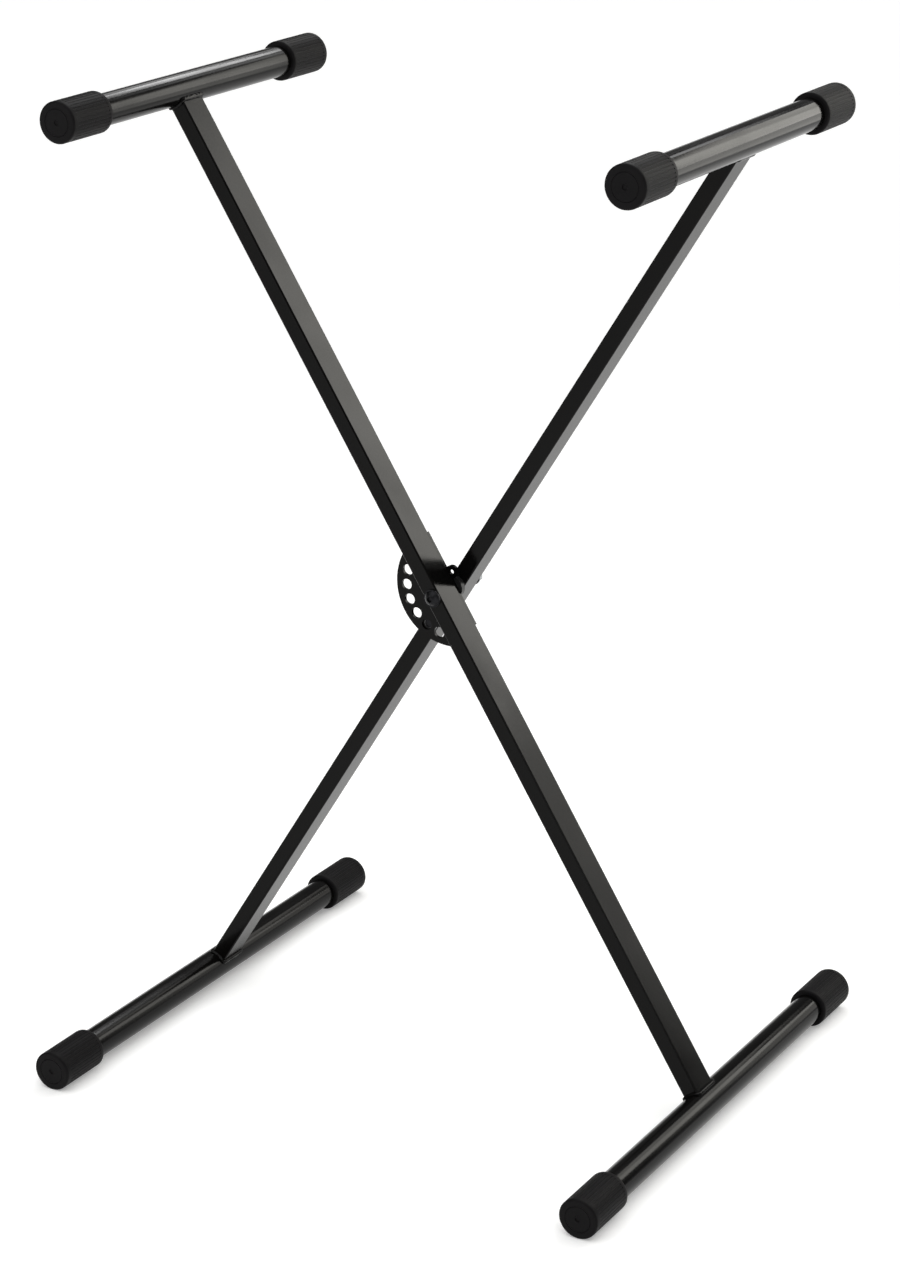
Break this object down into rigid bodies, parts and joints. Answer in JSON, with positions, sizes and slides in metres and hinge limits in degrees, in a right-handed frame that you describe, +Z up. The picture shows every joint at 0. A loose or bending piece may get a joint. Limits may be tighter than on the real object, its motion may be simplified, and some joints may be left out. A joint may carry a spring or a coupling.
{
  "type": "folding keyboard stand",
  "caption": "Folding keyboard stand with two crossed flat-tube legs, round top and floor bars with rubber end caps, and a perforated locking half-disc with a sprung pin at the pivot.",
  "frame": {"origin": "on the floor, straight below the pivot bolt, midway between the front and rear ends of the bars", "axes": "+X across the stand to the right, +Y from front to rear along the bars and the pivot bolt, +Z up"},
  "size_m": [0.5748, 0.5246, 0.8895],
  "materials": {
    "black_paint": "glossy",
    "cap_rubber": "matte",
    "black_fastener": "satin",
    "zinc_steel": "satin",
    "bush_nylon": "matte",
    "knob_plastic": "satin"
  },
  "bodies": {
    "front_frame": {"front_leg": "black_paint", "top_left_bar": "black_paint", "bottom_right_bar": "black_paint", "front_leg_top_weld": "black_paint", "front_leg_bottom_weld": "black_paint", "top_left_front_cap": "cap_rubber", "top_left_rear_cap": "cap_rubber", "bottom_right_front_cap": "cap_rubber", "bottom_right_rear_cap": "cap_rubber", "locking_plate": "black_paint", "locking_plate_welds": "black_paint", "front_pivot_sleeve": "zinc_steel", "pivot_bolt": "black_fastener", "front_washer": "black_fastener", "pivot_spacer": "bush_nylon", "rear_washer": "zinc_steel", "pivot_nut": "zinc_steel"},
    "rear_frame": {"rear_leg": "black_paint", "top_right_bar": "black_paint", "bottom_left_bar": "black_paint", "rear_leg_top_weld": "black_paint", "rear_leg_bottom_weld": "black_paint", "top_right_front_cap": "cap_rubber", "top_right_rear_cap": "cap_rubber", "bottom_left_front_cap": "cap_rubber", "bottom_left_rear_cap": "cap_rubber", "rear_pivot_sleeve": "zinc_steel", "front_pivot_bush": "bush_nylon", "rear_pivot_bush": "bush_nylon", "pin_guide": "zinc_steel"},
    "lock_pin": {"lock_pin": "black_fastener", "lock_spring": "zinc_steel", "pull_knob": "knob_plastic"}
  },
  "joints": [
    {"name": "fold", "type": "hinge", "parent": "front_frame", "child": "rear_frame", "pos_m": [0, 0, 0.44901], "axis": [0, 1, 0], "range_deg": [-59.5, 72]},
    {"name": "pin_slide", "type": "slide", "parent": "rear_frame", "child": "lock_pin", "axis": [0, -1, 0], "range_m": [-0.0005, 0.0031], "stiffness_N_per_m": 150, "springref_m": 0.0031}
  ]
}
